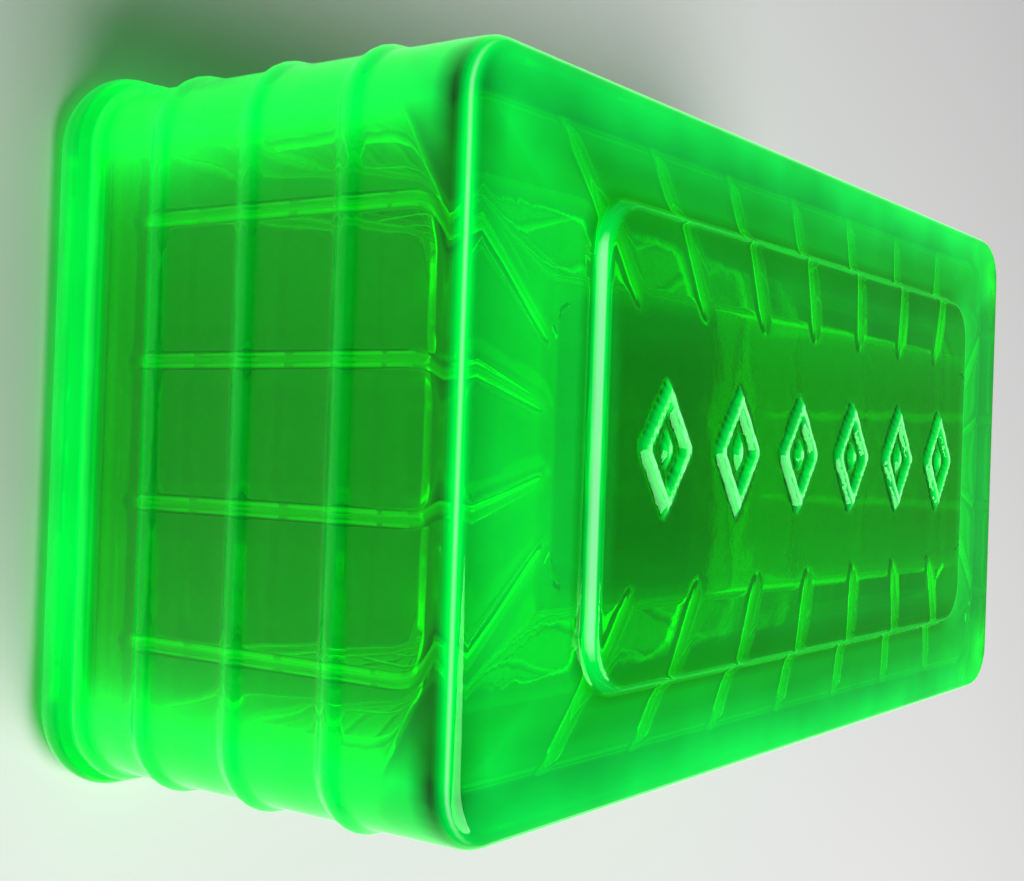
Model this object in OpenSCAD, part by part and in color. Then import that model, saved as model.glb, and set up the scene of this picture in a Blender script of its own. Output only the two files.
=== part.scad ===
// Covered oblong dish in pressed green glass.
// A shallow tray and a tall box-shaped cover that lifts straight off.
// Millimetres. +Z up, +X along the length, origin under the middle of the tray.

/* [Cover] */
// Length of the cover at its shoulder
cover_l = 172; // [150:1:200]
// Width of the cover at its shoulder
cover_w = 89; // [78:1:110]
// Height of the top face above the table
top_z = 68; // [60:1:90]
// Corner radius of the cover seen from above
corner_r = 8; // [7:0.5:12]
// Radius of the rounded shoulder
shoulder_r = 2.5; // [2:0.5:5]
// Thickness of the upright walls
wall_t = 4.5; // [3.5:0.5:6]
// How far each wall leans out from shoulder to foot
draft = 1; // [0:0.25:1.5]

/* [Ribs] */
// Number of raised ribs that run round the outside
band_count = 3; // [1:1:3]
// Distance between those ribs
band_pitch = 15.8; // [10:0.2:16]
// Distance of the highest one below the top face
band_first = 17; // [10:0.5:20]
// Half width of a rib round the outside
band_half = 1.6; // [0.8:0.1:2.5]
// How far it stands proud
band_rise = 0.8; // [0.4:0.1:1.2]
// Cells between the upright ribs inside each long wall
long_cells = 8; // [4:1:10]
// Cells between the upright ribs inside each end wall
end_cells = 5; // [3:1:7]
// Radius of an upright rib
rib_r = 1; // [0.6:0.1:1.5]

/* [Ceiling] */
// Glass left between the top face and the flat of the ceiling
ceiling_t = 4.5; // [3:0.5:6]
// Drop of the sloping part of the ceiling
slope_drop = 8.5; // [5:0.5:12]
// Width of the slope along the long walls
slope_w = 20.5; // [10:0.5:24]
// Width of the slope along the end walls
slope_l = 13.5; // [8:0.5:24]
// Drop of the shallower slope along the end walls
end_drop = 2.5; // [1:0.5:3]

/* [Top relief] */
// Length of the raised panel
panel_l = 124; // [100:1:140]
// Width of the raised panel
panel_w = 59; // [44:1:70]
// Corner radius of the raised panel
panel_r = 7; // [3:0.5:12]
// Height of the raised panel
panel_rise = 2; // [1:0.25:3]
// Number of lozenges in the row on the panel
motif_count = 6; // [3:1:6]
// Distance between the lozenges
motif_pitch = 19; // [16:0.5:20]
// Width of a lozenge
motif_w = 13.5; // [10:0.5:14]
// Height of a lozenge
motif_h = 18.5; // [12:0.5:24]
// Width of the raised stroke
motif_stroke = 2.6; // [1.5:0.1:3]
// Height of the raised stroke
motif_rise = 1.2; // [0.6:0.1:1.6]

/* [Foot and tray] */
// Height of the bead round the foot of the cover
foot_h = 3.6; // [2:0.2:6]
// How far that bead stands proud
foot_rise = 1.1; // [0.5:0.1:1.2]
// Height of the tray's ledge, which the cover stands on
ledge_z = 6; // [5:0.5:9]
// How far the tray's rim reaches past the cover's shoulder
rim_out = 3.2; // [2.5:0.1:6]
// Thickness of the tray's floor
floor_t = 3.8; // [3:0.2:4.5]
// Height of the locating ridge above the ledge
ridge_h = 3; // [1:0.5:4]
// Thickness of the locating ridge
ridge_t = 3; // [2:0.5:5]
// Gap between the ridge and the cover's wall
ridge_gap = 0.6; // [0.3:0.1:1.5]

/* [Hidden] */
$fn = 64;
glass = [0.16, 0.78, 0.24, 0.8];
foot_z = ledge_z;                        // underside of the cover
wall_h = top_z - foot_z;
in_r = corner_r - wall_t;                // inner corner radius at the shoulder
in_l = cover_l - 2 * wall_t;             // inside of the walls at the shoulder
in_w = cover_w - 2 * wall_t;
spring_z = top_z - ceiling_t - slope_drop;  // where the ceiling leaves the walls
ceil_z = top_z - ceiling_t;
ceil_l = in_l - 2 * slope_l;
ceil_w = in_w - 2 * slope_w;
end_z = ceil_z - end_drop;               // where the ceiling leaves the middle of an end wall
eps = 0.02;

// how far the wall has leaned out at height z
function lean(z) = draft * (top_z - z) / wall_h;
// height at which the ceiling leaves an end wall, at distance y from the middle
function end_spring(y) = spring_z + (end_z - spring_z) * min(1, (in_w / 2 - abs(y)) / slope_w);
// points of an arc, from angle a to angle b
function arc(cx, cz, r, a, b, n = 8) =
    [for (i = [0:n]) [cx + r * cos(a + (b - a) * i / n), cz + r * sin(a + (b - a) * i / n)]];
// a low rounded swelling on the wall, centred at height z, walked upwards
function swell(r, z, half, rise, n = 8) =
    [for (i = [0:n]) let (h = z - half + 2 * half * i / n)
        [r + lean(h) + rise * sin(180 * i / n), h]];

// rounded rectangle in plan, from plain squares and circles
module plan(l, w, r) {
    square([l, w - 2 * r], center = true);
    square([l - 2 * r, w], center = true);
    for (x = [-1, 1], y = [-1, 1]) translate([x * (l / 2 - r), y * (w / 2 - r)]) circle(r);
}

// carries a wall section round a rounded rectangle: x is the distance from the corner's axis
module ring(l, w, r) {
    for (q = [0:3]) {
        a = (q % 2 == 0) ? l / 2 - r : w / 2 - r;
        b = (q % 2 == 0) ? w / 2 - r : l / 2 - r;
        rotate([0, 0, 90 * q]) {
            translate([a, b, 0]) rotate_extrude(angle = 90) children();
            translate([a, b, 0]) rotate([90, 0, 0]) linear_extrude(2 * b) children();
        }
    }
}

// straight eight-sided bar from a to b
module bar(a, b, r) {
    v = b - a;
    translate(a) rotate([0, acos(v[2] / norm(v)), atan2(v[1], v[0])])
        translate([0, 0, -0.3]) cylinder(h = norm(v) + 0.3, r = r, $fn = 8);
}

// upright wall of the cover, with its foot bead, outer ribs and rounded shoulder
module cover_section() {
    polygon(concat(
        [[in_r + lean(foot_z), foot_z], [corner_r + lean(foot_z) + foot_rise * 0.7, foot_z]],
        [[corner_r + lean(foot_z) + foot_rise, foot_z + 0.6],
         [corner_r + lean(foot_z) + foot_rise, foot_z + foot_h - 1.2],
         [corner_r + lean(foot_z + foot_h), foot_z + foot_h]],
        [for (k = [band_count - 1:-1:0]) each
            swell(corner_r, top_z - band_first - k * band_pitch, band_half, band_rise)],
        [[corner_r + lean(top_z - shoulder_r), top_z - shoulder_r]],
        arc(corner_r - shoulder_r, top_z - shoulder_r, shoulder_r, 10, 90),
        [[in_r, top_z]]));
}

// upright lozenge outline with a small solid lozenge in its middle
module lozenge(w, h) {
    polygon([[w / 2, 0], [0, h / 2], [-w / 2, 0], [0, -h / 2]]);
}
module motif() {
    in = motif_stroke * norm([motif_w, motif_h]) / motif_h;   // stroke measured along X
    difference() {
        lozenge(motif_w, motif_h);
        lozenge(motif_w - 2 * in, (motif_w - 2 * in) * motif_h / motif_w);
    }
    lozenge(motif_w * 0.22, motif_h * 0.3);
}

// ribs inside one long wall: up the wall, then in over the slope, drawn together a little
module long_ribs() {
    for (i = [1:long_cells - 1]) {
        f = i / long_cells - 0.5;
        spring = [f * in_l, in_w / 2, spring_z];
        bar(spring, [f * (in_l + 2 * draft), in_w / 2 + lean(foot_z + 8), foot_z + 8], rib_r);
        bar(spring, [f * ceil_l, ceil_w / 2, ceil_z], rib_r);
    }
}
// ribs inside one end wall
module end_ribs() {
    for (i = [1:end_cells - 1]) {
        f = i / end_cells - 0.5;
        spring = [in_l / 2, f * in_w, end_spring(f * in_w)];
        bar(spring, [in_l / 2 + lean(foot_z + 8), f * (in_w + 2 * draft), foot_z + 8], rib_r);
        bar(spring, [ceil_l / 2, f * ceil_w, ceil_z], rib_r);
    }
}

module cover() {
    color(glass) {
        difference() {
            union() {
                ring(cover_l, cover_w, corner_r) cover_section();
                translate([0, 0, spring_z]) linear_extrude(top_z - spring_z)
                    plan(cover_l - 2 * shoulder_r - 1, cover_w - 2 * shoulder_r - 1, corner_r - shoulder_r - 0.5);
                translate([0, 0, top_z - 1]) linear_extrude(1 + panel_rise * 0.5) plan(panel_l, panel_w, panel_r);
                translate([0, 0, top_z - 1]) linear_extrude(1 + panel_rise)
                    plan(panel_l - 1.6, panel_w - 1.6, panel_r - 0.8);
                for (i = [0:motif_count - 1])
                    translate([(i - (motif_count - 1) / 2) * motif_pitch, 0, top_z + panel_rise - 0.5])
                        linear_extrude(motif_rise + 0.5) motif();
            }
            // sloping ceiling
            hull() {
                translate([-in_l / 2, -in_w / 2, spring_z - eps]) cube([in_l, in_w, eps]);
                translate([-in_l / 2, -ceil_w / 2, end_z - eps]) cube([in_l, ceil_w, eps]);
                translate([-ceil_l / 2, -ceil_w / 2, ceil_z - eps]) cube([ceil_l, ceil_w, eps]);
            }
        }
        for (s = [0, 180]) rotate([0, 0, s]) {
            long_ribs();
            end_ribs();
        }
    }
}

// tray rim: a rounded bead outside, a flat ledge, then the locating ridge
rim_l = cover_l + 2 * rim_out;
rim_w = cover_w + 2 * rim_out;
rim_r = corner_r + rim_out;
ridge_r = in_r + lean(foot_z) - ridge_gap;               // outside of the ridge from the corner's axis
module tray_section() {
    polygon(concat(
        [[0, 0], [rim_r - 2.4, 0], [rim_r - 1.2, 0.6]],
        arc(rim_r - 2.2, ledge_z - 2.6, 2.2, -25, 65),
        [[rim_r - 1.6, ledge_z], [ridge_r, ledge_z], [ridge_r, ledge_z + ridge_h - 0.6],
         [ridge_r - 0.6, ledge_z + ridge_h], [0, ledge_z + ridge_h]]));
}

module base_tray() {
    color(glass) difference() {
        union() {
            ring(rim_l, rim_w, rim_r) tray_section();
            translate([0, 0, 0]) linear_extrude(ledge_z + ridge_h)
                square([rim_l - 2 * rim_r + eps, rim_w - 2 * rim_r + eps], center = true);
        }
        translate([0, 0, floor_t]) linear_extrude(20)
            plan(rim_l - 2 * (rim_r - ridge_r + ridge_t), rim_w - 2 * (rim_r - ridge_r + ridge_t), 2.5);
    }
}

base_tray();
cover();
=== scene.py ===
import math
import bpy
import numpy as np
from mathutils import Matrix, Vector


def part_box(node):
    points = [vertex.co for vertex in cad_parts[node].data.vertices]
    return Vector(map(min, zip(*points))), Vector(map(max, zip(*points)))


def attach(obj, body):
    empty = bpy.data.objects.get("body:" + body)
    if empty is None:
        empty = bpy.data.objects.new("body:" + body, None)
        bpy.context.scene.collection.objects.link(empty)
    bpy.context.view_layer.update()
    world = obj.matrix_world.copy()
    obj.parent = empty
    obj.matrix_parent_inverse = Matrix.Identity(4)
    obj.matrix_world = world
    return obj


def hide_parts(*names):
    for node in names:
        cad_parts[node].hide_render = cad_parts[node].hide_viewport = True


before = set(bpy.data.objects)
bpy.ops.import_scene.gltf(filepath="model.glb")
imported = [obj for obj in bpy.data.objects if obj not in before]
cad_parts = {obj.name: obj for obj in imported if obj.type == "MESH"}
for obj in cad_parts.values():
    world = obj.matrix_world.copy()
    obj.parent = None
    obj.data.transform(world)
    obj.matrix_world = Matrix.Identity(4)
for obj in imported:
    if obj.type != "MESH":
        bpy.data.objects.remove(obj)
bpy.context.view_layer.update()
mm = 0.001


# camera: close to the near end, looking down over the top, and rolled on its side
cameraSet = {
    "place": (-0.1992, -0.0009, 0.1594),
    "right": (0.59832, 0.03477, 0.80050),
    "up": (-0.02688, 0.99937, -0.02331),
    "lens": 49.22,
    "sensor": 36.0,
}


def placeCamera(c):
    data = bpy.data.cameras.new("camera")
    data.lens, data.sensor_width, data.clip_start = c["lens"], c["sensor"], 0.01
    ob = bpy.data.objects.new("camera", data)
    right, up = Vector(c["right"]).normalized(), Vector(c["up"])
    back = right.cross(up).normalized()
    up = back.cross(right)
    ob.matrix_world = Matrix.Translation(c["place"]) @ Matrix((right, up, back)).transposed().to_4x4()
    bpy.context.scene.collection.objects.link(ob)
    bpy.context.scene.camera = ob


placeCamera(cameraSet)
print("camera placed")


# rings of a rounded rectangle, and the field of points that closes the last one

wallSet = {
    "endSpread": 1.1,      # the ribs of an end wall stand a little wider apart than equal cells
    "lastLong": 0.8,       # shares of a half wall that just hold its outermost rib
    "lastEnd": 0.68,
    "glowSpread": 4 * mm,  # how far a corner's painted glow runs along a wall
    "endShine": 0.45,      # painted highlight on the ribs of an end wall against that on the ribs of a long wall
    "leastRadius": 0.2 * mm,
}


def gatheredStops(cells, perRib, between, ribShare):
    # -1 to 1 along a wall of equal cells, with points gathered round each rib
    stops, cell = [-1.0], 2.0 / cells
    for i in range(cells):
        start = -1.0 + i * cell
        left = start + (ribShare * cell if i > 0 else 0)
        right = start + cell - (ribShare * cell if i < cells - 1 else 0)
        if i > 0:
            stops += list(np.linspace(start, left, perRib + 1)[1:])
        stops += list(np.linspace(left, right, between + 1)[1:])
        if i < cells - 1:
            stops += list(np.linspace(right, start + cell, perRib + 1)[1:])
    return np.array(stops)


def cornerPoints(a, b, radius, turns):
    # points of a quarter round: place, no wall, and how far each faces along the first axis
    return [(a + radius * math.cos(t), b + radius * math.sin(t), -1, 0, 0, math.cos(t) ** 2) for t in turns]


def ringOf(halfL, halfW, radius, stopsX, stopsY, perArc):
    # anticlockwise from the middle of the +X -Y corner: each point's place, its wall (1 long, 0 end,
    # -1 neither), place along that wall in cells, distance to the corner, and how far it faces an end
    ax, ay = halfL - radius, halfW - radius
    rows = []
    for q in range(4):
        a, b, stops = (ax, ay, stopsY) if q % 2 == 0 else (ay, ax, stopsX)
        turn = Matrix.Rotation(math.radians(90 * q), 2)
        isLong = q % 2
        half = b + radius
        last = wallSet["lastLong"] if isLong else wallSet["lastEnd"]
        spread = 1.0 if isLong else wallSet["endSpread"]
        turns = [math.radians(45 * k / perArc) for k in range(perArc)]
        side = cornerPoints(a, -b, radius, [t - math.pi / 4 for t in turns])
        for s in stops[:-1]:
            # stops beyond the outermost rib crowd up to the corner
            beyond = max(abs(s) - last, 0) / (1 - last)
            reach = last * half * spread
            y = math.copysign(min(abs(s), last) * half * spread + (b - reach) * beyond, s)
            side.append((a + radius, y, isLong, (y / (half * spread) + 1) / 2, b - abs(y), 1))
        side += cornerPoints(a, b, radius, turns)
        for x, y, w, f, gap, square in side:
            p = turn @ Vector((x, y))
            rows.append((p.x, p.y, w, f, gap, 1 - square if isLong else square))
    rows = np.array(rows)
    return rows[:, :2], rows[:, 2:]


def slideToSquare(pts, level, nx, ny):
    # slides a ring's points to a plain rectangle whose sides keep the ring's spacing
    side, top = pts[:ny], pts[ny:ny + nx]
    gy, gx = side[:, 1] / abs(side[0, 1]), top[:, 0] / abs(top[0, 0])
    box = np.concatenate([
        np.stack([np.full(ny, level["l"]), gy * level["w"]], 1),
        np.stack([gx * level["l"], np.full(nx, level["w"])], 1),
        np.stack([np.full(ny, -level["l"]), -gy * level["w"]], 1),
        np.stack([-gx * level["l"], np.full(nx, -level["w"])], 1)])
    return pts * (1 - level["square"]) + box * level["square"]


def buildShell(name, skins, grain):
    # each skin is a list of levels from its foot to its middle, closed by a field of points, and two
    # skins share a foot; a level's kind is 1 on the outer wall, 2 on the inner skin, 3 on the panel
    stopsX, stopsY, perArc = grain
    nx, ny = len(stopsX) - 1 + 2 * perArc, len(stopsY) - 1 + 2 * perArc
    ringCount = 2 * (nx + ny)
    verts, faces, tags = [], [], []   # tag: skin, wall, place along it, its length, fade, painted glow, painted highlight weight
    starts = []
    for skinNumber, levels in enumerate(skins):
        outside = skinNumber == 0
        rows = []
        for lv in levels:
            radius = max(lv["r"], wallSet["leastRadius"])
            pts, marks = ringOf(lv["l"], lv["w"], radius, stopsX, stopsY, perArc)
            if lv.get("square"):
                pts = slideToSquare(pts, lv, nx, ny)
            first = len(verts)
            for p, (w, f, gap, atEnd) in zip(pts, marks):
                z = lv["height"](p[0] / mm, p[1] / mm) * mm if "height" in lv else lv["z"]
                verts.append((p[0], p[1], z))
                length = 2 * (lv["l"] if w == 1 else lv["w"] * wallSet["endSpread"])
                # painted glow: set per level, with more painted glow near the corners that fades along the
                # walls; ribs on end walls get a weaker painted highlight
                edge = lv.get("corner", 0.0) * math.exp(-gap / lv.get("spread", wallSet["glowSpread"]))
                glow = lv.get("glow", 0.0)
                lit = glow * (1 - atEnd) + lv.get("glowEnd", glow) * atEnd
                shine = 1 - (1 - wallSet["endShine"]) * atEnd
                tags.append((lv["kind"], w, f, length, lv.get("fade", 0.0), max(lit, edge), shine))
            rows.append(first)
        for low, high in zip(rows, rows[1:]):
            for j in range(ringCount):
                k = (j + 1) % ringCount
                quad = (low + j, low + k, high + k, high + j)
                faces.append(quad if outside else quad[::-1])
        # field of points inside the last ring
        last, lv = rows[-1], levels[-1]
        ring = np.array([verts[last + j][:2] for j in range(ringCount)])
        ys = ring[:ny, 1].tolist() + [ring[ny, 1]]
        xs = ring[ny:ny + nx, 0].tolist() + [ring[ny + nx, 0]]   # runs from +X to -X
        index = np.zeros((nx + 1, ny + 1), int)
        for j in range(ny):
            index[0, j] = last + j
            index[nx, ny - j] = last + ny + nx + j
        for i in range(nx):
            index[i, ny] = last + ny + i
            index[nx - i, 0] = last + 2 * ny + nx + i
        for i in range(1, nx):
            for j in range(1, ny):
                index[i, j] = len(verts)
                verts.append((xs[i], ys[j], lv["z"]))
                tags.append((lv["kind"], -1, 0, 0, 0.0, lv.get("glow", 0.0), 1.0))
        for i in range(nx):
            for j in range(ny):
                quad = (index[i, j], index[i, j + 1], index[i + 1, j + 1], index[i + 1, j])
                faces.append(tuple(int(v) for v in (quad if outside else quad[::-1])))
        starts.append(rows[0])
    if len(starts) == 2:
        outer, inner = starts
        for j in range(ringCount):
            k = (j + 1) % ringCount
            faces.append((inner + j, inner + k, outer + k, outer + j))
    mesh = bpy.data.meshes.new(name)
    mesh.from_pydata(verts, [], faces)
    mesh.update()
    tags = np.array(tags, np.float32)
    labels = ("skin", "wall", "along", "wallLength", "fade", "edgeGlow", "ribShine")
    for column, label in enumerate(labels):
        layer = mesh.attributes.new(label, "FLOAT", "POINT")
        layer.data.foreach_set("value", np.ascontiguousarray(tags[:, column]))
    mesh.polygons.foreach_set("use_smooth", [True] * len(mesh.polygons))
    ob = bpy.data.objects.new(name, mesh)
    bpy.context.scene.collection.objects.link(ob)
    print(name, "laid out with", len(faces), "faces")
    return ob


# small helpers for node trees

def newTree(name, kind, inputs, outputs):
    tree = bpy.data.node_groups.new(name, kind)
    for label, socketType, value in inputs:
        s = tree.interface.new_socket(name=label, in_out="INPUT", socket_type=socketType)
        if value is not None:
            s.default_value = value
    for label, socketType in outputs:
        tree.interface.new_socket(name=label, in_out="OUTPUT", socket_type=socketType)
    return tree, tree.nodes.new("NodeGroupInput"), tree.nodes.new("NodeGroupOutput")


def maths(tree, operation, *values, clamp=False):
    n = tree.nodes.new("ShaderNodeMath")
    n.operation, n.use_clamp = operation, clamp
    for i, v in enumerate(values):
        if isinstance(v, (int, float)):
            n.inputs[i].default_value = v
        else:
            tree.links.new(v, n.inputs[i])
    return n.outputs[0]


def named(tree, label):
    n = tree.nodes.new("GeometryNodeInputNamedAttribute")
    n.data_type = "FLOAT"
    n.inputs["Name"].default_value = label
    return n.outputs["Attribute"]


def roundedStep(tree, value):
    # 0 to 1 with soft ends
    n = tree.nodes.new("ShaderNodeMapRange")
    n.interpolation_type = "SMOOTHSTEP"
    tree.links.new(value, n.inputs["Value"])
    return n.outputs["Result"]


def pushTree(name, inputs):
    # a tree that pushes the points of a shell; the caller fills in how far and which way
    tree, source, sink = newTree(
        name, "GeometryNodeTree",
        [("Geometry", "NodeSocketGeometry", None)] + inputs + [("Glass", "NodeSocketMaterial", None)],
        [("Geometry", "NodeSocketGeometry")])
    return tree, source, sink


def finishPush(tree, source, sink, amount, direction, bump, shine):
    # stores how raised each point is, times its painted highlight weight, as the mask of painted highlights,
    # pushes it, and ends the tree
    mark = maths(tree, "MULTIPLY", bump, shine)
    scale = tree.nodes.new("ShaderNodeVectorMath")
    scale.operation = "SCALE"
    tree.links.new(direction, scale.inputs[0])
    tree.links.new(amount, scale.inputs["Scale"])
    old = maths(tree, "MAXIMUM", named(tree, "relief"), mark)
    store = tree.nodes.new("GeometryNodeStoreNamedAttribute")
    store.data_type, store.domain = "FLOAT", "POINT"
    store.inputs["Name"].default_value = "relief"
    push = tree.nodes.new("GeometryNodeSetPosition")
    real = tree.nodes.new("GeometryNodeRealizeInstances")
    paint = tree.nodes.new("GeometryNodeSetMaterial")
    tree.links.new(source.outputs["Geometry"], store.inputs["Geometry"])
    tree.links.new(old, store.inputs["Value"])
    tree.links.new(store.outputs["Geometry"], push.inputs["Geometry"])
    tree.links.new(scale.outputs[0], push.inputs["Offset"])
    tree.links.new(push.outputs["Geometry"], real.inputs["Geometry"])
    tree.links.new(real.outputs["Geometry"], paint.inputs["Geometry"])
    tree.links.new(source.outputs["Glass"], paint.inputs["Material"])
    tree.links.new(paint.outputs["Geometry"], sink.inputs["Geometry"])
    return tree


def isSkin(tree, number):
    return maths(tree, "COMPARE", named(tree, "skin"), float(number), 0.5)


def uprightRibTree():
    tree, source, sink = pushTree("uprightRibs", [
        ("Long Cells", "NodeSocketFloat", 8.0), ("End Cells", "NodeSocketFloat", 5.0),
        ("Half Width", "NodeSocketFloat", 0.001), ("Rise", "NodeSocketFloat", 0.001)])
    o = source.outputs
    wall = named(tree, "wall")
    isLong = maths(tree, "COMPARE", wall, 1.0, 0.5)
    isEnd = maths(tree, "COMPARE", wall, 0.0, 0.5)
    cells = maths(tree, "ADD", maths(tree, "MULTIPLY", isLong, o["Long Cells"]),
                  maths(tree, "MULTIPLY", isEnd, o["End Cells"]))
    cells = maths(tree, "MAXIMUM", cells, 1.0)
    cell = maths(tree, "MULTIPLY", named(tree, "along"), cells)
    nearest = maths(tree, "ROUND", cell)
    inside = maths(tree, "MULTIPLY", maths(tree, "GREATER_THAN", nearest, 0.5),
                   maths(tree, "LESS_THAN", nearest, maths(tree, "SUBTRACT", cells, 0.5)))
    away = maths(tree, "ABSOLUTE", maths(tree, "SUBTRACT", cell, nearest))
    away = maths(tree, "MULTIPLY", maths(tree, "DIVIDE", away, cells), named(tree, "wallLength"))
    near = maths(tree, "SUBTRACT", 1.0, maths(tree, "DIVIDE", away, o["Half Width"]), clamp=True)
    bump = maths(tree, "SINE", maths(tree, "MULTIPLY", near, math.pi / 2))
    bump = maths(tree, "MULTIPLY", bump, maths(tree, "MULTIPLY", inside, isSkin(tree, 2)))
    bump = maths(tree, "MULTIPLY", bump, named(tree, "fade"))
    normal = tree.nodes.new("GeometryNodeInputNormal")
    amount = maths(tree, "MULTIPLY", bump, o["Rise"])
    # the ribs' painted highlight weight is lower on end walls
    return finishPush(tree, source, sink, amount, normal.outputs[0], bump, named(tree, "ribShine"))


def bandRibTree():
    tree, source, sink = pushTree("bandRibs", [
        ("Count", "NodeSocketFloat", 3.0), ("Highest", "NodeSocketFloat", 0.05),
        ("Pitch", "NodeSocketFloat", 0.016), ("Half Width", "NodeSocketFloat", 0.0016),
        ("Rise", "NodeSocketFloat", 0.0008), ("Shine", "NodeSocketFloat", 0.22)])
    o = source.outputs
    place = tree.nodes.new("GeometryNodeInputPosition")
    split = tree.nodes.new("ShaderNodeSeparateXYZ")
    tree.links.new(place.outputs[0], split.inputs[0])
    step = maths(tree, "DIVIDE", maths(tree, "SUBTRACT", o["Highest"], split.outputs["Z"]), o["Pitch"])
    nearest = maths(tree, "MINIMUM", maths(tree, "MAXIMUM", maths(tree, "ROUND", step), 0.0),
                    maths(tree, "SUBTRACT", o["Count"], 1.0))
    away = maths(tree, "ABSOLUTE", maths(tree, "SUBTRACT", step, nearest))
    away = maths(tree, "MULTIPLY", away, o["Pitch"])
    near = maths(tree, "SUBTRACT", 1.0, maths(tree, "DIVIDE", away, o["Half Width"]), clamp=True)
    bump = maths(tree, "MULTIPLY", roundedStep(tree, near), isSkin(tree, 1))
    normal = tree.nodes.new("GeometryNodeInputNormal")
    amount = maths(tree, "MULTIPLY", bump, o["Rise"])
    # a band's painted highlight is its bump times Shine
    return finishPush(tree, source, sink, amount, normal.outputs[0], bump, o["Shine"])


def lozengeRowTree():
    tree, source, sink = pushTree("lozengeRow", [
        ("Count", "NodeSocketFloat", 6.0), ("Pitch", "NodeSocketFloat", 0.019),
        ("Width", "NodeSocketFloat", 0.0135), ("Height", "NodeSocketFloat", 0.0185),
        ("Stroke", "NodeSocketFloat", 0.0026), ("Softness", "NodeSocketFloat", 0.0007),
        ("Core Width", "NodeSocketFloat", 0.0035), ("Core Height", "NodeSocketFloat", 0.0063),
        ("Rise", "NodeSocketFloat", 0.0012)])
    o = source.outputs
    place = tree.nodes.new("GeometryNodeInputPosition")
    split = tree.nodes.new("ShaderNodeSeparateXYZ")
    tree.links.new(place.outputs[0], split.inputs[0])
    half = maths(tree, "DIVIDE", maths(tree, "SUBTRACT", o["Count"], 1.0), 2.0)
    step = maths(tree, "ADD", maths(tree, "DIVIDE", split.outputs["X"], o["Pitch"]), half)
    nearest = maths(tree, "MINIMUM", maths(tree, "MAXIMUM", maths(tree, "ROUND", step), 0.0),
                    maths(tree, "SUBTRACT", o["Count"], 1.0))
    u = maths(tree, "MULTIPLY", maths(tree, "SUBTRACT", step, nearest), o["Pitch"])
    u = maths(tree, "ABSOLUTE", u)
    v = maths(tree, "ABSOLUTE", split.outputs["Y"])

    def depthInside(width, height):
        # how deep a point lies inside an upright lozenge, in metres
        hw, hh = maths(tree, "DIVIDE", width, 2.0), maths(tree, "DIVIDE", height, 2.0)
        share = maths(tree, "ADD", maths(tree, "DIVIDE", u, hw), maths(tree, "DIVIDE", v, hh))
        squares = maths(tree, "ADD", maths(tree, "POWER", hw, 2.0), maths(tree, "POWER", hh, 2.0))
        slant = maths(tree, "SQRT", squares)
        reach = maths(tree, "DIVIDE", maths(tree, "MULTIPLY", hw, hh), slant)
        return maths(tree, "MULTIPLY", maths(tree, "SUBTRACT", 1.0, share), reach)

    depth = depthInside(o["Width"], o["Height"])
    middle = maths(tree, "DIVIDE", o["Stroke"], 2.0)
    offMiddle = maths(tree, "ABSOLUTE", maths(tree, "SUBTRACT", depth, middle))
    inStroke = maths(tree, "SUBTRACT", middle, offMiddle)
    inCore = depthInside(o["Core Width"], o["Core Height"])
    edge = maths(tree, "MAXIMUM", inStroke, inCore)
    bump = roundedStep(tree, maths(tree, "DIVIDE", edge, o["Softness"], clamp=True))
    bump = maths(tree, "MULTIPLY", bump, isSkin(tree, 3))
    up = tree.nodes.new("ShaderNodeCombineXYZ")
    up.inputs["Z"].default_value = 1.0
    amount = maths(tree, "MULTIPLY", bump, o["Rise"])
    # the lozenges' painted highlight follows the root of their bump
    return finishPush(tree, source, sink, amount, up.outputs[0], maths(tree, "SQRT", bump), 1.0)


def addTree(ob, tree, values):
    mod = ob.modifiers.new(tree.name, "NODES")
    mod.node_group = tree
    sockets = [s for s in tree.interface.items_tree if s.item_type == "SOCKET" and s.in_out == "INPUT"]
    ids = {s.name: s.identifier for s in sockets}
    for label, value in values.items():
        mod[ids[label]] = value


def bakeTrees(ob):
    graph = bpy.context.evaluated_depsgraph_get()
    mesh = bpy.data.meshes.new_from_object(ob.evaluated_get(graph))
    ob.modifiers.clear()
    old = ob.data
    ob.data = mesh
    bpy.data.meshes.remove(old)
    mesh.name = ob.name
    mesh.polygons.foreach_set("use_smooth", [True] * len(mesh.polygons))
    return ob


# glass

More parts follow.
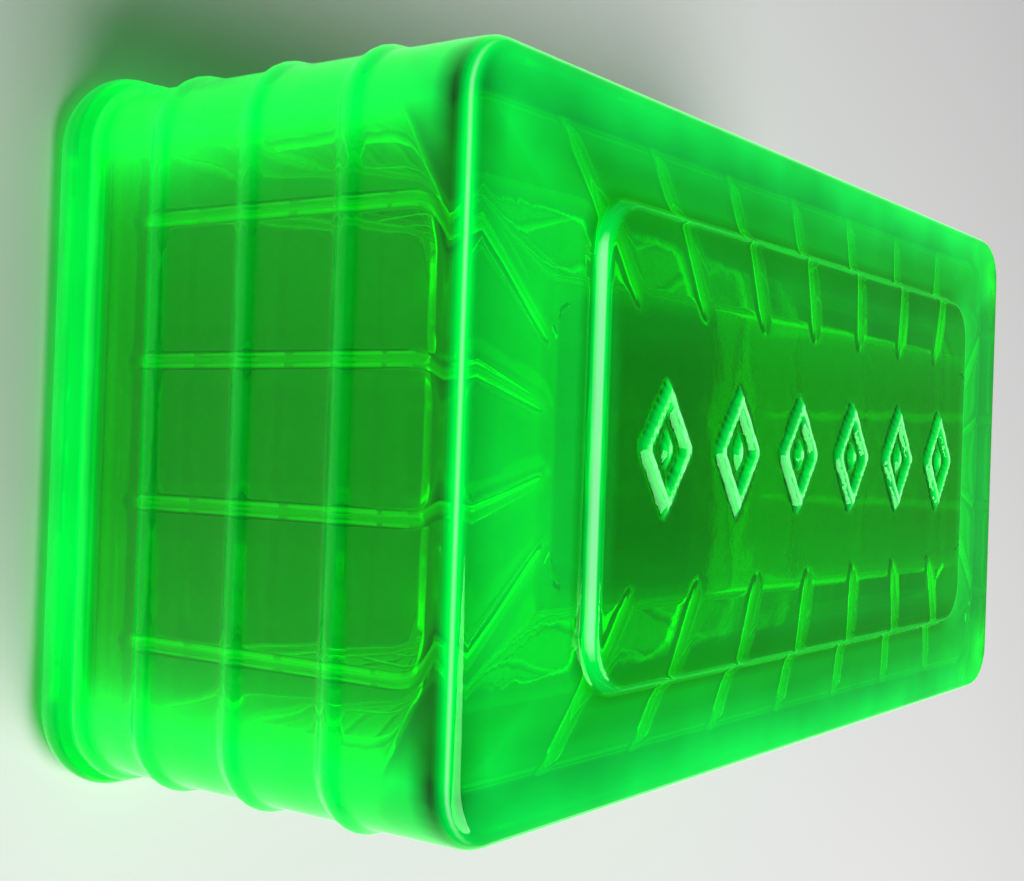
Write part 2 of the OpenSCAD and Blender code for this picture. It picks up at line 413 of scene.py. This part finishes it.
def mouldedSurfaceGroup():
    # soft waves left by the mould and fine marks of handling
    tree, source, sink = newTree("mouldedSurface", "ShaderNodeTree", [
        ("Vector", "NodeSocketVector", None), ("Wave Scale", "NodeSocketFloat", 55.0),
        ("Mark Scale", "NodeSocketFloat", 900.0), ("Smooth", "NodeSocketFloat", 0.03),
        ("Worn", "NodeSocketFloat", 0.09), ("Mark Height", "NodeSocketFloat", 0.03)],
        [("Height", "NodeSocketFloat"), ("Roughness", "NodeSocketFloat"), ("Cloud", "NodeSocketFloat")])
    wave = tree.nodes.new("ShaderNodeTexNoise")
    wave.inputs["Detail"].default_value = 2.0
    mark = tree.nodes.new("ShaderNodeTexNoise")
    mark.inputs["Detail"].default_value = 3.0
    tree.links.new(source.outputs["Vector"], wave.inputs["Vector"])
    tree.links.new(source.outputs["Vector"], mark.inputs["Vector"])
    tree.links.new(source.outputs["Wave Scale"], wave.inputs["Scale"])
    tree.links.new(source.outputs["Mark Scale"], mark.inputs["Scale"])
    worn = maths(tree, "MULTIPLY", maths(tree, "POWER", mark.outputs["Fac"], 3.0), wave.outputs["Fac"])
    worn = maths(tree, "MULTIPLY", worn, source.outputs["Worn"])
    rough = maths(tree, "ADD", source.outputs["Smooth"], worn)
    fine = maths(tree, "MULTIPLY", mark.outputs["Fac"], source.outputs["Mark Height"])
    height = maths(tree, "ADD", wave.outputs["Fac"], fine)
    tree.links.new(height, sink.inputs["Height"])
    tree.links.new(rough, sink.inputs["Roughness"])
    tree.links.new(wave.outputs["Fac"], sink.inputs["Cloud"])
    return tree


mouldedSurface = mouldedSurfaceGroup()

# uranium glass: a painted glow in the emission goes from dim to bright where the glass is seen thick or
# edge-on, and to a painted whitish highlight on the sharpest raised lines
uraniumGlass = {
    "tint": (0.30, 1.0, 0.38),
    "sheen": (0.25, 1.0, 0.35),
    "ior": 1.52,
    # emission colours of the painted glow, dim and bright, and of the painted highlight
    "paintedGlowDim": (0.0, 0.06, 0.001),
    "paintedGlowBright": (0.0, 1.0, 0.09),
    "paintedHighlight": (0.30, 1.0, 0.42),
    "glow": 0.9,
    "reliefShare": 0.9,
    "cloudLift": 0.5,
    # where the painted highlight starts on the glow mask, and how fast it takes over
    "highlightFrom": 0.88,
    "highlightGain": 8.0,
    "absorb": (0.0, 0.86, 0.02),
    "density": 600.0,
    "waves": 0.0003,
    "waveStrength": 0.5,
}


def mixColours(tree, share, a, b):
    # a and b are colours or sockets
    n = tree.nodes.new("ShaderNodeMix")
    n.data_type = "RGBA"
    ends = [i for i in n.inputs if i.type == "RGBA"]
    for end, colour in zip(ends, (a, b)):
        if isinstance(colour, tuple):
            end.default_value = (*colour, 1)
        else:
            tree.links.new(colour, end)
    tree.links.new(share, n.inputs["Factor"])
    return [x for x in n.outputs if x.type == "RGBA"][0]


def attribute(tree, label):
    n = tree.nodes.new("ShaderNodeAttribute")
    n.attribute_name = label
    return n.outputs["Fac"]


def makeGlass(name, s):
    mat = bpy.data.materials.new(name)
    mat.use_nodes = True
    tree = mat.node_tree
    p = tree.nodes["Principled BSDF"]
    p.inputs["Base Color"].default_value = (*s["tint"], 1)
    p.inputs["Transmission Weight"].default_value = 1.0
    p.inputs["IOR"].default_value = s["ior"]
    p.inputs["Specular Tint"].default_value = (*s["sheen"], 1)
    p.inputs["Emission Strength"].default_value = s["glow"]
    place = tree.nodes.new("ShaderNodeTexCoord")
    surface = tree.nodes.new("ShaderNodeGroup")
    surface.node_tree = mouldedSurface
    tree.links.new(place.outputs["Object"], surface.inputs["Vector"])
    tree.links.new(surface.outputs["Roughness"], p.inputs["Roughness"])
    bump = tree.nodes.new("ShaderNodeBump")
    bump.inputs["Distance"].default_value = s["waves"]
    bump.inputs["Strength"].default_value = s["waveStrength"]
    tree.links.new(surface.outputs["Height"], bump.inputs["Height"])
    tree.links.new(bump.outputs["Normal"], p.inputs["Normal"])
    # painted glow and painted highlight: the emission brightens with the painted edge glow and the
    # raised-line highlight mask, and turns whitish where either is highest
    relief, paintedEdgeGlow = attribute(tree, "relief"), attribute(tree, "edgeGlow")
    share = maths(tree, "ADD", maths(tree, "MULTIPLY", relief, s["reliefShare"]), paintedEdgeGlow)
    cloud = maths(tree, "ADD", surface.outputs["Cloud"], s["cloudLift"])
    lit = mixColours(tree, maths(tree, "MULTIPLY", share, cloud, clamp=True), s["paintedGlowDim"], s["paintedGlowBright"])
    peak = maths(tree, "SUBTRACT", maths(tree, "MAXIMUM", relief, paintedEdgeGlow), s["highlightFrom"])
    paintedHighlight = mixColours(tree, maths(tree, "MULTIPLY", peak, s["highlightGain"], clamp=True), lit, s["paintedHighlight"])
    tree.links.new(paintedHighlight, p.inputs["Emission Color"])
    body = tree.nodes.new("ShaderNodeVolumeAbsorption")
    body.inputs["Color"].default_value = (*s["absorb"], 1)
    body.inputs["Density"].default_value = s["density"]
    tree.links.new(body.outputs[0], tree.nodes["Material Output"].inputs["Volume"])
    return mat


coverGlass = makeGlass("coverGlass", uraniumGlass)
trayGlass = makeGlass("trayGlass", uraniumGlass)


# cover

def cadSize(length):
    # a CAD length in millimetres, to a tenth
    return round(length / mm, 1)


coverLow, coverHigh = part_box("cover")

# millimetres, and shares of full painted glow; the outer sizes come from the CAD's boxes
cover = {
    "draft": 1.0, "footRise": 1.1, "footBead": 1.0, "corner": 8.0, "topCorner": 4.5, "shoulder": 2.5,
    "wall": 4.5, "panelRise": 2.0, "cadLozenge": 1.2,
    "ceiling": 4.5, "slopeDrop": 8.5, "slopeL": 13.5, "slopeW": 20.5, "endDrop": 2.5, "knee": 12.0,
    "panelL": 62.0, "panelW": 29.5, "panelCorner": 7.0, "fieldL": 58.0, "fieldW": 10.6,
    "longCells": 8, "endCells": 5, "ribHalf": 1.15, "ribRise": 1.0, "ribFoot": 7.0, "ribBase": 10.0,
    "bandCount": 3, "bandFirst": 17.0, "bandPitch": 15.8, "bandHalf": 2.4, "bandRise": 0.8, "bandShine": 0.22,
    "lozenges": 6, "lozengePitch": 19.0, "lozengeW": 13.5, "lozengeH": 18.5, "lozengeStroke": 2.7,
    "lozengeSoft": 1.1, "lozengeRise": 0.8, "coreW": 3.51, "coreH": 6.29,
    "cornerGlow": 0.82, "cornerSpread": 4.0, "topSpread": 7.0, "shoulderGlow": 0.88, "topGlow": 0.9,
    "panelGlow": 0.14, "bevelGlow": 1.0, "innerGlow": 0.5, "slopeGlow": 0.52, "endGlow": 0.36,
}
cover["shoulderL"] = cadSize(coverHigh[0]) - cover["draft"] - cover["footRise"]
cover["shoulderW"] = cadSize(coverHigh[1]) - cover["draft"] - cover["footRise"]
cover["topZ"] = cadSize(coverHigh[2]) - cover["panelRise"] - cover["cadLozenge"]
cover["footZ"] = cadSize(coverLow[2])


def coverOuter(c):
    # foot bead, wall with room for its bands, shoulder, level top, raised panel, and its field of lozenges
    foot, top, sh = c["footZ"], c["topZ"], c["shoulder"]

    def level(out, z, kind=0, **more):
        # a ring pushed out from the shoulder's plan
        return dict(l=(c["shoulderL"] + out) * mm, w=(c["shoulderW"] + out) * mm,
                    r=max(c["corner"] + out, 0.5) * mm, z=z * mm, kind=kind, **more)

    def plate(l, w, r, z, kind=0, **more):
        return dict(l=l * mm, w=w * mm, r=r * mm, z=z * mm, kind=kind, **more)

    beadPoints = (   # out, up, painted glow
        (-0.4, 0.02, 0.3), (0.2, 0.12, 0.4), (0.75, 0.45, 0.6), (1.0, 1.1, 0.7),
        (1.0, 1.8, 0.7), (0.8, 2.5, 0.5), (0.35, 3.1, 0.25), (0.05, 3.6, 0.1))
    rings = [level(lean(c, foot) + c["footBead"] * out, foot + up, glow=g, corner=c["cornerGlow"])
             for out, up, g in beadPoints]

    heights, low, half = [], foot + 4.4, c["bandHalf"]
    for k in reversed(range(c["bandCount"])):
        z = top - c["bandFirst"] - k * c["bandPitch"]
        heights += list(np.linspace(low, z - half, 5)[:-1]) + list(np.linspace(z - half, z + half, 13)[:-1])
        low = z + half
    heights += list(np.linspace(low, top - sh, 5)[:-1])
    for z in heights:
        # painted glow that grows towards the shoulder
        glow = 0.4 * c["shoulderGlow"] * math.exp((z - top + sh) / 0.8)
        rings.append(level(lean(c, z), z, 1, glow=glow,
                           corner=c["cornerGlow"], spread=c["cornerSpread"] * mm))

    for k in range(9):
        t = math.radians(90 * k / 8)
        glowEnd = max(math.sin(2 * t) ** 2.5, 0.25 * (k > 4))   # a narrow painted line of light along an end
        rings.append(level(-sh + sh * math.cos(t), top - sh + sh * math.sin(t),
                           glow=c["shoulderGlow"], glowEnd=glowEnd))

    pl, pw, pr, rise = c["panelL"], c["panelW"], c["panelCorner"], c["panelRise"]
    edgeL, edgeW, edgeR = c["shoulderL"] - sh, c["shoulderW"] - sh, c["topCorner"]
    # painted glow on the level top, strongest by the shoulder and at the corners
    for f in (0.2, 0.45, 0.7, 0.9):
        glow = c["panelGlow"] + (c["topGlow"] - c["panelGlow"]) * (1 - f) ** 1.5
        rings.append(plate(edgeL + (pl + 1 - edgeL) * f, edgeW + (pw + 1 - edgeW) * f,
                           edgeR + (pr + 1 - edgeR) * f, top, glow=glow, glowEnd=c["endGlow"],
                           corner=c["cornerGlow"] * (1 - f), spread=c["topSpread"] * mm))
    bevelPoints = (   # out, up in halves of the panel's rise, painted glow
        (0.9, 0.02, 0.1), (0.5, 0.12, 0.35), (0.2, 0.45, 0.9), (0.0, 1.0, 1),
        (-0.2, 1.55, 1), (-0.5, 1.88, 0.75), (-0.9, 1.98, 0.3), (-1.4, 2.0, 0.1))
    for out, up, g in bevelPoints:
        glow = c["bevelGlow"] * g
        rings.append(plate(pl + out, pw + out, pr + out, top + up * rise / 2, glow=0.3 * glow, glowEnd=glow))
    inl, inw, inr = pl - 1.4, pw - 1.4, pr - 1.4
    for f in (0.2, 0.4, 0.6, 0.8, 1.0):
        rings.append(plate(inl + (c["fieldL"] - inl) * f, inw + (c["fieldW"] - inw) * f, inr * (1 - f) + 0.6,
                           top + rise, 3, square=f, glow=c["panelGlow"] * (1 - f)))
    return rings


def lean(c, z):
    # how far the wall has leaned out at height z
    return c["draft"] * (c["topZ"] - z) / (c["topZ"] - c["footZ"])


def coverInner(c):
    # walls, a small cove, the slope, and the flat ceiling
    wl, ww = c["shoulderL"] - c["wall"], c["shoulderW"] - c["wall"]
    foot, ceil, knee = c["footZ"], c["topZ"] - c["ceiling"], c["knee"]
    spring, endSpring = ceil - c["slopeDrop"], ceil - c["endDrop"]   # where the ceiling leaves the walls
    base = foot + c["ribBase"]
    coveDrop = 2.5
    turnZ = (endSpring - spring) / knee

    def eaves(y):
        # the top of a wall, y from the middle of an end
        return spring + turnZ * min(max(ww - abs(y), 0), knee)

    def vault(x, y):
        # the ceiling's height
        steep = spring + turnZ * (ww - abs(y))
        eased = endSpring + (ww - knee - abs(y)) * c["endDrop"] / (c["slopeW"] - knee)
        return min(steep, eased, endSpring + (wl - abs(x)) * c["endDrop"] / c["slopeL"], ceil)

    def cove(share):
        return lambda x, y: eaves(y) - coveDrop + (coveDrop + max(vault(x, y) - eaves(y), 0)) * share

    def wallLevel(z, fade, back=0.0, kind=2):
        def height(x, y):
            return z if z < base else base + (z - base) * (eaves(y) - base) / (spring - base)

        out = lean(c, z) - back
        return dict(l=(wl + out) * mm, w=(ww + out) * mm, r=(c["corner"] - c["wall"] + out) * mm, z=z * mm,
                    height=height, kind=kind, fade=fade, corner=c["innerGlow"], spread=c["cornerSpread"] * mm)

    def ceilingLevel(f, height, r, **more):
        return dict(l=(wl - c["slopeL"] * f) * mm, w=(ww - c["slopeW"] * f) * mm, r=r * mm, z=ceil * mm,
                    height=height, kind=2, **more)

    ribFoot = foot + c["ribFoot"]
    rings = [wallLevel(foot + up, 0, back, 0) for up, back in ((0.02, -0.5), (0.2, -0.1), (0.8, 0))]
    rings += [wallLevel(ribFoot + up, fade) for up, fade in ((0, 0), (0.6, 0.4), (1.4, 0.85), (2.4, 1))]
    rings += [wallLevel(z, 1) for z in np.linspace(foot + 12, spring - coveDrop, 9)]
    # painted glow along the cove, slope and ceiling
    for t in np.linspace(1 / 6, 1, 6):
        rings.append(ceilingLevel(0.12 * t * t, cove(1 - (1 - t) ** 1.7), 3.6 + 0.2 * t, fade=1.0,
                                  glow=c["slopeGlow"] * t, glowEnd=0.05, corner=c["innerGlow"] * (1 - t)))
    for f in np.linspace(0.2, 0.9, 9):
        rings.append(ceilingLevel(f, vault, 3.8 + 1.0 * f, fade=1.0,
                                  glow=c["slopeGlow"] * (1 - 0.5 * f), glowEnd=c["endGlow"] * f))
    for f, fade in ((0.96, 1.0), (1.0, 0.85), (1.04, 0.5), (1.08, 0.15), (1.12, 0.0)):
        # the ribs die away on the flat
        rings.append(ceilingLevel(f, vault, 4.8, fade=fade, glow=c["slopeGlow"] * 0.5 * (1.12 - f) / 0.16,
                                  glowEnd=c["endGlow"] * 0.5))
    last = rings[-1]
    for f in (0.5, 1.0):
        rings.append(dict(l=last["l"] * (1 - 0.02 * f), w=last["w"] * (1 - 0.06 * f), r=(4.8 - 4.0 * f) * mm,
                          z=ceil * mm, kind=0, square=f))
    return rings


coverGrain = (
    gatheredStops(cover["longCells"], 4, 17, 0.055),
    gatheredStops(cover["endCells"], 4, 5, 0.075), 4)
coverPiece = buildShell("coverGlass", [coverOuter(cover), coverInner(cover)], coverGrain)
addTree(coverPiece, uprightRibTree(), {
    "Long Cells": float(cover["longCells"]), "End Cells": float(cover["endCells"]),
    "Half Width": cover["ribHalf"] * mm, "Rise": cover["ribRise"] * mm, "Glass": coverGlass})
addTree(coverPiece, bandRibTree(), {
    "Count": float(cover["bandCount"]), "Highest": (cover["topZ"] - cover["bandFirst"]) * mm,
    "Pitch": cover["bandPitch"] * mm, "Half Width": cover["bandHalf"] * mm, "Rise": cover["bandRise"] * mm,
    "Shine": cover["bandShine"], "Glass": coverGlass})
addTree(coverPiece, lozengeRowTree(), {
    "Count": float(cover["lozenges"]), "Pitch": cover["lozengePitch"] * mm, "Width": cover["lozengeW"] * mm,
    "Height": cover["lozengeH"] * mm, "Stroke": cover["lozengeStroke"] * mm,
    "Softness": cover["lozengeSoft"] * mm, "Core Width": cover["coreW"] * mm,
    "Core Height": cover["coreH"] * mm, "Rise": cover["lozengeRise"] * mm, "Glass": coverGlass})
bakeTrees(coverPiece)
print("cover pressed:", sum(len(p.vertices) - 2 for p in coverPiece.data.polygons), "triangles")


# tray

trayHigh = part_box("base_tray")[1]

# millimetres, and shares of full painted glow
tray = {
    "rimL": cadSize(trayHigh[0]), "rimW": cadSize(trayHigh[1]), "rimCorner": 11.2, "beadR": 2.2,
    "ledgeZ": cover["footZ"], "ridgeOut": 3.9, "ridgeH": 3.0, "ridgeT": 3.0, "floor": 3.8,
    "rimGlow": 0.65, "flatGlow": 0.15,
}


def traySkin(c):
    # foot, rim bead, ledge and locating ridge, as distances from the axis of a corner, and heights
    axisL, axisW = c["rimL"] - c["rimCorner"], c["rimW"] - c["rimCorner"]
    rr, lz, ro, bead = c["rimCorner"], c["ledgeZ"], c["ridgeOut"], c["beadR"]
    ri, top = ro - c["ridgeT"], lz + c["ridgeH"]
    points = [(rr - 6.0, 0.0), (rr - 3.2, 0.0), (rr - 2.4, 0.06), (rr - 1.6, 0.35), (rr - 1.1, 0.8)]
    points.append((rr - 0.55, 1.6))
    for t in range(-25, 66, 15):
        turn = math.radians(t)
        points.append((rr - bead + bead * math.cos(turn), lz - 2.6 + bead * math.sin(turn)))
    points += [(rr - 1.5, lz - 0.25), (rr - 1.9, lz - 0.06), (rr - 2.4, lz), (rr - 4.5, lz)]
    points += [(ro + 0.5, lz), (ro + 0.15, lz + 0.08), (ro, lz + 0.4), (ro, top - 1.0)]
    points += [(ro - 0.25, top - 0.35), (ro - 0.8, top), (ri + 0.8, top)]
    points += [(ri + 0.25, top - 0.3), (ri, top - 0.9)]
    # painted glow brighter on the rim bead than on the flats
    return [dict(l=(axisL + r) * mm, w=(axisW + r) * mm, r=max(r, 0.3) * mm, z=z * mm, kind=0,
                 glow=c["rimGlow"] if r > rr - 3 else c["flatGlow"]) for r, z in points], axisL, axisW


def buildTray(c):
    levels, axisL, axisW = traySkin(c)
    floorZ = c["floor"]
    recess = ((0.9, floorZ + 0.9), (0.75, floorZ + 0.3), (0.2, floorZ), (-2.0, floorZ))
    down = [dict(l=(axisL + x) * mm, w=(axisW + x) * mm, r=2.6 * mm, z=z * mm, kind=0) for x, z in recess]
    foot = levels[0]
    under = [dict(l=foot["l"] - d, w=foot["w"] - d, r=foot["r"] - d, z=0.0, kind=0) for d in (2 * mm, 4 * mm)]
    grain = (np.linspace(-1, 1, 41), np.linspace(-1, 1, 21), 8)
    return buildShell("trayGlass", [levels + down, under], grain)


trayPiece = buildTray(tray)
trayPiece.data.materials.append(trayGlass)


# floor and light

studio = {
    "floorSize": 3.0, "floorDrop": 0.2 * mm, "floorColour": (0.72, 0.72, 0.71), "floorRoughness": 0.6,
    "sky": (0.8, 0.82, 0.85), "skyStrength": 0.14,
    "lampPlace": (0.1, -0.5, 0.9), "lampAim": (0, 0, 0.03), "lampSize": 0.9, "lampPower": 13.0,
}


def addFloor(s):
    mesh = bpy.data.meshes.new("floor")
    d = s["floorSize"]
    mesh.from_pydata([(-d, -d, 0), (d, -d, 0), (d, d, 0), (-d, d, 0)], [], [(0, 1, 2, 3)])
    ob = bpy.data.objects.new("floor", mesh)
    ob.location.z = -s["floorDrop"]
    bpy.context.scene.collection.objects.link(ob)
    mat = bpy.data.materials.new("floorPaint")
    mat.use_nodes = True
    p = mat.node_tree.nodes["Principled BSDF"]
    p.inputs["Base Color"].default_value = (*s["floorColour"], 1)
    p.inputs["Roughness"].default_value = s["floorRoughness"]
    mesh.materials.append(mat)


def addSky(s):
    world = bpy.data.worlds.new("studio")
    world.use_nodes = True
    back = world.node_tree.nodes["Background"]
    back.inputs["Color"].default_value = (*s["sky"], 1)
    back.inputs["Strength"].default_value = s["skyStrength"]
    bpy.context.scene.world = world


def addLamp(s):
    data = bpy.data.lights.new("softbox", "AREA")
    data.shape, data.size, data.energy = "DISK", s["lampSize"], s["lampPower"]
    ob = bpy.data.objects.new("softbox", data)
    towards = Vector(s["lampAim"]) - Vector(s["lampPlace"])
    turn = towards.to_track_quat("-Z", "Y").to_matrix().to_4x4()
    ob.matrix_world = Matrix.Translation(s["lampPlace"]) @ turn
    bpy.context.scene.collection.objects.link(ob)


addFloor(studio)
addSky(studio)
addLamp(studio)
bpy.context.scene.view_settings.view_transform = "Standard"   # keeps the painted glow a pure green
print("floor and light set")

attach(coverPiece, "lid")
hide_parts("cover")
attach(trayPiece, "tray")
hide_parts("base_tray")
